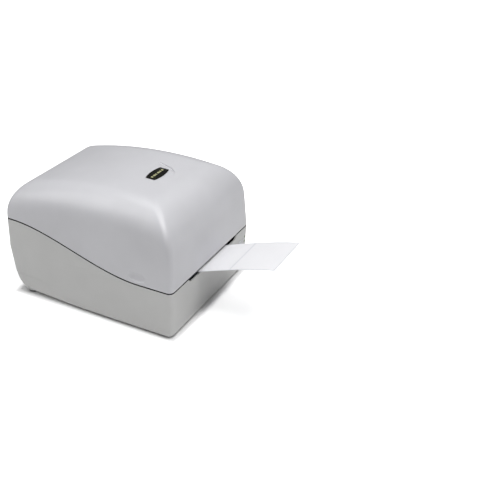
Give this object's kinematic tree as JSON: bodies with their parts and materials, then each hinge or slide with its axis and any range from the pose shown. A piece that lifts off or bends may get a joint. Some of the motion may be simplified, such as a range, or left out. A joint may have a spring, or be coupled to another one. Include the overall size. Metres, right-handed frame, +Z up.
{
  "type": "thermal label printer",
  "caption": "Desktop thermal label printer: rounded clamshell case, loaded label roll, geared platen drive, ribbon spools in the lid, and a strip of labels leaving the front slot.",
  "frame": {"origin": "on the table under the middle of the case, between the four feet", "axes": "+Z up, -Y out of the front with the label slot, +X to the right as seen from the front"},
  "size_m": [0.226, 0.4115, 0.1959],
  "materials": {
    "case_white": "fine satin moulded plastic",
    "case_grey": "fine satin moulded plastic",
    "dark_plastic": "textured moulded plastic",
    "zinc_steel": "zinc-plated sheet steel",
    "bright_steel": "ground bright steel",
    "screw_steel": "zinc-plated screws",
    "blued_steel": "blackened steel",
    "aluminium": "extruded aluminium",
    "head_ceramic": "glazed ceramic",
    "rubber_black": "ground rubber",
    "gear_nylon": "natural nylon",
    "pinion_brass": "cut brass",
    "motor_black": "black motor laminations",
    "guide_blue": "blue touch-point plastic",
    "spindle_grey": "grey moulded plastic",
    "hub_white": "white moulded plastic",
    "paper_white": "smooth coated label paper",
    "liner_paper": "glassine backing paper",
    "cardboard": "wound cardboard",
    "ribbon_black": "wax ribbon film",
    "board_green": "solder-masked circuit board",
    "chip_black": "moulded packages",
    "socket_metal": "tin-plated socket shells",
    "rocker_black": "black rocker",
    "button_white": "light grey key",
    "lens_green": "dark smoked lamp lens",
    "badge_dark": "dark glossy badge",
    "badge_yellow": "pale yellow printing"
  },
  "bodies": {
    "base": {"base_shell": "case_grey", "media_tray": "dark_plastic", "chassis": "zinc_steel", "platen_bushes": "gear_nylon", "idler_post": "bright_steel", "motor_body": "motor_black", "motor_screws": "screw_steel", "tear_bar": "blued_steel", "roll_cradles": "dark_plastic", "label_liner": "liner_paper", "labels": "paper_white", "sensor_rail": "bright_steel", "main_board": "board_green", "board_parts": "chip_black", "io_board": "board_green", "usb_socket": "socket_metal", "serial_socket": "socket_metal", "parallel_socket": "socket_metal", "power_inlet": "chip_black", "port_plate": "zinc_steel", "switch_body": "chip_black", "button_spring": "zinc_steel", "panel_board": "board_green", "status_lenses": "lens_green", "rubber_feet": "rubber_black", "tray_screws": "screw_steel", "board_screws": "screw_steel", "chassis_screws": "screw_steel", "hinge_brackets": "dark_plastic", "hinge_pins": "bright_steel"},
    "lid": {"lid_shell": "case_white", "lid_frame": "dark_plastic", "lid_screws": "screw_steel", "head_mount": "aluminium", "print_head": "head_ceramic", "head_springs": "zinc_steel", "ribbon_film": "ribbon_black", "badge": "badge_dark", "badge_marks": "badge_yellow"},
    "platen": {"platen_shaft": "bright_steel", "platen_rubber": "rubber_black", "platen_gear": "gear_nylon"},
    "idler": {"idler_gear": "gear_nylon"},
    "motor_rotor": {"motor_shaft": "bright_steel", "motor_pinion": "pinion_brass"},
    "media_roll": {"roll_spindle": "spindle_grey", "roll_flanges": "spindle_grey", "roll_core": "cardboard", "label_roll": "paper_white"},
    "supply_spool": {"supply_hub": "hub_white", "supply_ribbon": "ribbon_black"},
    "takeup_spool": {"takeup_hub": "hub_white", "takeup_ribbon": "ribbon_black"},
    "right_guide": {"guide_right": "guide_blue"},
    "left_guide": {"guide_left": "guide_blue"},
    "guide_gear": {"guide_pinion": "gear_nylon"},
    "media_sensor": {"sensor_carriage": "guide_blue"},
    "feed_key": {"feed_button": "button_white"},
    "rocker": {"power_rocker": "rocker_black"}
  },
  "joints": [
    {"name": "lid_hinge", "type": "hinge", "parent": "base", "child": "lid", "pos_m": [0, 0.1445, 0.1263], "axis": [-1, 0, 0], "range_deg": [0, 95]},
    {"name": "platen_spin", "type": "hinge", "parent": "base", "child": "platen", "pos_m": [0, -0.124, 0.068], "axis": [1, 0, 0], "continuous": true},
    {"name": "idler_spin", "type": "hinge", "parent": "base", "child": "idler", "pos_m": [0, -0.1144, 0.0552], "axis": [1, 0, 0], "continuous": true},
    {"name": "motor_spin", "type": "hinge", "parent": "base", "child": "motor_rotor", "pos_m": [0, -0.10723, 0.03062], "axis": [1, 0, 0], "continuous": true},
    {"name": "roll_spin", "type": "hinge", "parent": "base", "child": "media_roll", "pos_m": [0, 0.045, 0.076], "axis": [1, 0, 0], "continuous": true},
    {"name": "supply_spin", "type": "hinge", "parent": "lid", "child": "supply_spool", "pos_m": [0, -0.025, 0.148], "axis": [1, 0, 0], "continuous": true},
    {"name": "takeup_spin", "type": "hinge", "parent": "lid", "child": "takeup_spool", "pos_m": [0, -0.088, 0.15], "axis": [1, 0, 0], "continuous": true},
    {"name": "guide_slide", "type": "slide", "parent": "base", "child": "right_guide", "axis": [1, 0, 0], "range_m": [0, 0.013]},
    {"name": "left_guide_slide", "type": "slide", "parent": "base", "child": "left_guide", "axis": [-1, 0, 0], "range_m": [0, 0.013]},
    {"name": "guide_gear_spin", "type": "hinge", "parent": "base", "child": "guide_gear", "pos_m": [0, -0.088, 0.0647], "axis": [0, 0, 1], "range_deg": [0, 125]},
    {"name": "sensor_slide", "type": "slide", "parent": "base", "child": "media_sensor", "axis": [1, 0, 0], "range_m": [-0.03, 0.03]},
    {"name": "feed_press", "type": "slide", "parent": "base", "child": "feed_key", "axis": [0, 1, 0], "range_m": [0, 0.0012], "stiffness_N_per_m": 400},
    {"name": "power_rock", "type": "hinge", "parent": "base", "child": "rocker", "pos_m": [0.091, 0.138, 0.042], "axis": [1, 0, 0], "range_deg": [0, 16]}
  ],
  "couplings": [
    {"joint": "idler_spin", "follows": "platen_spin", "ratio": -1.5},
    {"joint": "motor_spin", "follows": "platen_spin", "ratio": 4.5},
    {"joint": "roll_spin", "follows": "platen_spin", "ratio": 0.14545},
    {"joint": "supply_spin", "follows": "platen_spin", "ratio": 0.28571},
    {"joint": "takeup_spin", "follows": "platen_spin", "ratio": -0.47059},
    {"joint": "left_guide_slide", "follows": "guide_slide", "ratio": 1},
    {"joint": "guide_gear_spin", "follows": "guide_slide", "rad_per_m": 166.67}
  ]
}
